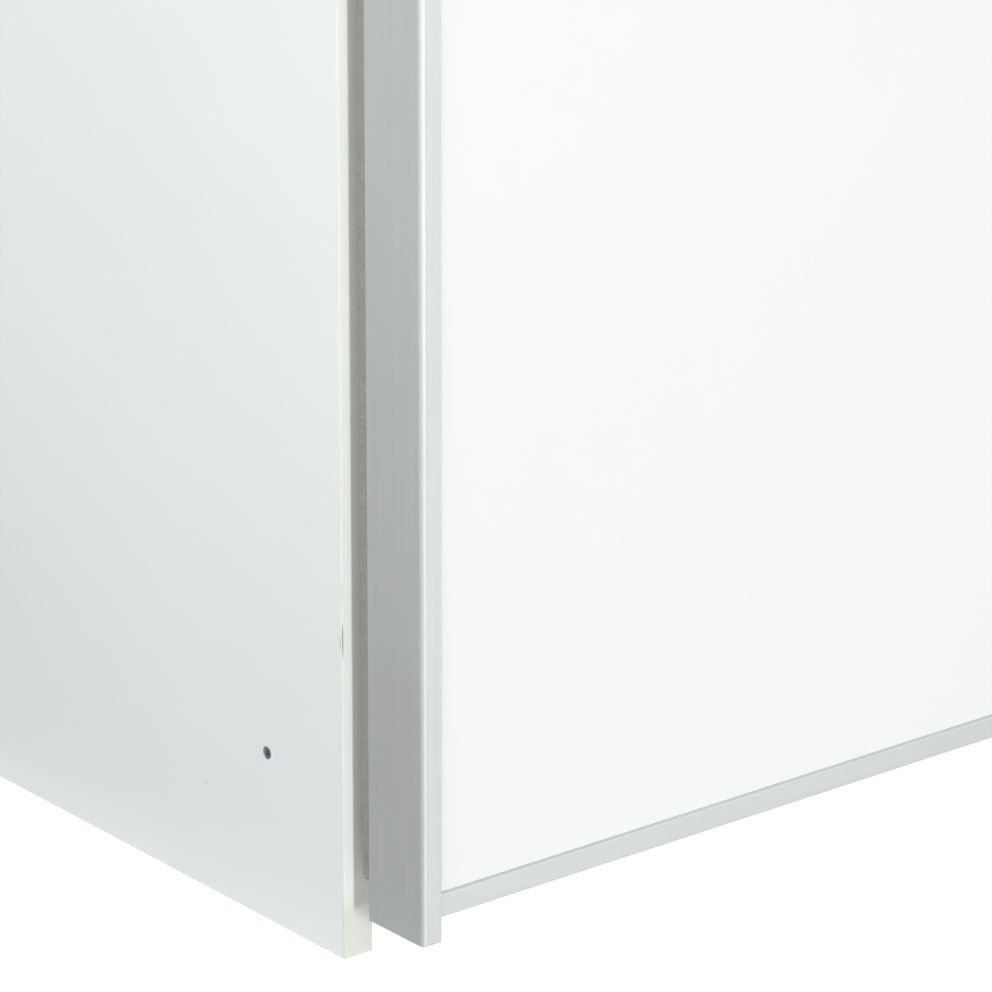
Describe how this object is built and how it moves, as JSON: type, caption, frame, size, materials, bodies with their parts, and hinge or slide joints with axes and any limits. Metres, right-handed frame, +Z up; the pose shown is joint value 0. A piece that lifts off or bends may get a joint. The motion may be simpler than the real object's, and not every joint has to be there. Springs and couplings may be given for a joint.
{
  "type": "sliding door wardrobe",
  "caption": "White wardrobe with sliding doors in satin metal frames, hung from a top track in front of a board carcase with shelves and a clothes rail.",
  "frame": {"origin": "on the floor, in the middle of the overall width and depth", "axes": "+X to the right along the front, +Y from the doors to the wall, +Z up"},
  "size_m": [1.81, 0.62, 2.1],
  "materials": {
    "white_melamine": "satin white melamine face on chipboard",
    "white_edge_band": "thin white ABS edging, slightly warmer than the boards",
    "white_hardboard": "white foil on hardboard",
    "gloss_white_panel": "high-gloss white face",
    "satin_aluminium": "satin anodised with fine drawing lines along the profile",
    "zinc_plated_steel": "pressed steel, bright zinc plated",
    "blued_zinc_fasteners": "blue-passivated zinc",
    "chromed_tube": "bright chrome plated oval tube",
    "brush_pile": "grey pile on a woven backing",
    "white_nylon": "moulded nylon",
    "white_plastic": "moulded white plastic",
    "black_rubber": "moulded rubber",
    "beech": "fluted beech dowel"
  },
  "bodies": {
    "carcase": {"side_panel_left": "white_melamine", "side_panel_right": "white_melamine", "centre_partition": "white_melamine", "top_panel": "white_melamine", "floor_panel": "white_melamine", "front_plinth": "white_melamine", "rear_plinth": "white_melamine", "centre_support": "white_melamine", "back_panel_left": "white_hardboard", "back_panel_right": "white_hardboard", "left_shelf": "white_melamine", "right_shelf_1": "white_melamine", "right_shelf_2": "white_melamine", "right_shelf_3": "white_melamine", "right_shelf_4": "white_melamine", "edge_bands": "white_edge_band", "shelf_pins": "blued_zinc_fasteners", "clothes_rail": "chromed_tube", "clothes_rail_sockets": "zinc_plated_steel", "connecting_bolts": "blued_zinc_fasteners", "barrel_nuts": "blued_zinc_fasteners", "wooden_dowels": "beech", "back_nails": "blued_zinc_fasteners", "carcase_screws": "blued_zinc_fasteners", "wall_brackets": "zinc_plated_steel", "top_track": "satin_aluminium", "track_fascia": "white_melamine", "track_end_caps": "white_plastic", "track_stops": "black_rubber", "guide_rail": "satin_aluminium", "spacer_profile": "satin_aluminium"},
    "left_door": {"left_door_panel": "gloss_white_panel", "left_door_outer_stile": "satin_aluminium", "left_door_inner_stile": "satin_aluminium", "left_door_top_rail": "satin_aluminium", "left_door_bottom_rail": "satin_aluminium", "left_door_brushes": "brush_pile", "left_door_corner_plates": "zinc_plated_steel", "left_door_roller_brackets": "zinc_plated_steel", "left_door_axles": "blued_zinc_fasteners", "left_door_guide_arms": "zinc_plated_steel", "left_door_guide_fingers": "white_nylon", "left_door_screws": "blued_zinc_fasteners"},
    "right_door": {"right_door_panel": "gloss_white_panel", "right_door_outer_stile": "satin_aluminium", "right_door_inner_stile": "satin_aluminium", "right_door_top_rail": "satin_aluminium", "right_door_bottom_rail": "satin_aluminium", "right_door_brushes": "brush_pile", "right_door_corner_plates": "zinc_plated_steel", "right_door_roller_brackets": "zinc_plated_steel", "right_door_axles": "blued_zinc_fasteners", "right_door_guide_arms": "zinc_plated_steel", "right_door_guide_fingers": "white_nylon", "right_door_screws": "blued_zinc_fasteners"},
    "left_door_outer_wheel": {"left_door_outer_wheel": "white_nylon"},
    "left_door_inner_wheel": {"left_door_inner_wheel": "white_nylon"},
    "right_door_outer_wheel": {"right_door_outer_wheel": "white_nylon"},
    "right_door_inner_wheel": {"right_door_inner_wheel": "white_nylon"}
  },
  "joints": [
    {"name": "left_door_slide", "type": "slide", "parent": "carcase", "child": "left_door", "axis": [1, 0, 0], "range_m": [0, 0.87]},
    {"name": "right_door_slide", "type": "slide", "parent": "carcase", "child": "right_door", "axis": [1, 0, 0], "range_m": [-0.89, 0]},
    {"name": "left_door_outer_wheel_spin", "type": "hinge", "parent": "left_door", "child": "left_door_outer_wheel", "pos_m": [-0.835, -0.232, 2.0643], "axis": [0, 1, 0], "range_deg": [0, 3563]},
    {"name": "left_door_inner_wheel_spin", "type": "hinge", "parent": "left_door", "child": "left_door_inner_wheel", "pos_m": [-0.055, -0.232, 2.0643], "axis": [0, 1, 0], "range_deg": [0, 3563]},
    {"name": "right_door_outer_wheel_spin", "type": "hinge", "parent": "right_door", "child": "right_door_outer_wheel", "pos_m": [0.835, -0.28, 2.0643], "axis": [0, 1, 0], "range_deg": [-3645, 0]},
    {"name": "right_door_inner_wheel_spin", "type": "hinge", "parent": "right_door", "child": "right_door_inner_wheel", "pos_m": [0.055, -0.28, 2.0643], "axis": [0, 1, 0], "range_deg": [-3645, 0]}
  ],
  "couplings": [
    {"joint": "left_door_outer_wheel_spin", "follows": "left_door_slide", "rad_per_m": 71.429},
    {"joint": "left_door_inner_wheel_spin", "follows": "left_door_slide", "rad_per_m": 71.429},
    {"joint": "right_door_outer_wheel_spin", "follows": "right_door_slide", "rad_per_m": 71.429},
    {"joint": "right_door_inner_wheel_spin", "follows": "right_door_slide", "rad_per_m": 71.429}
  ]
}
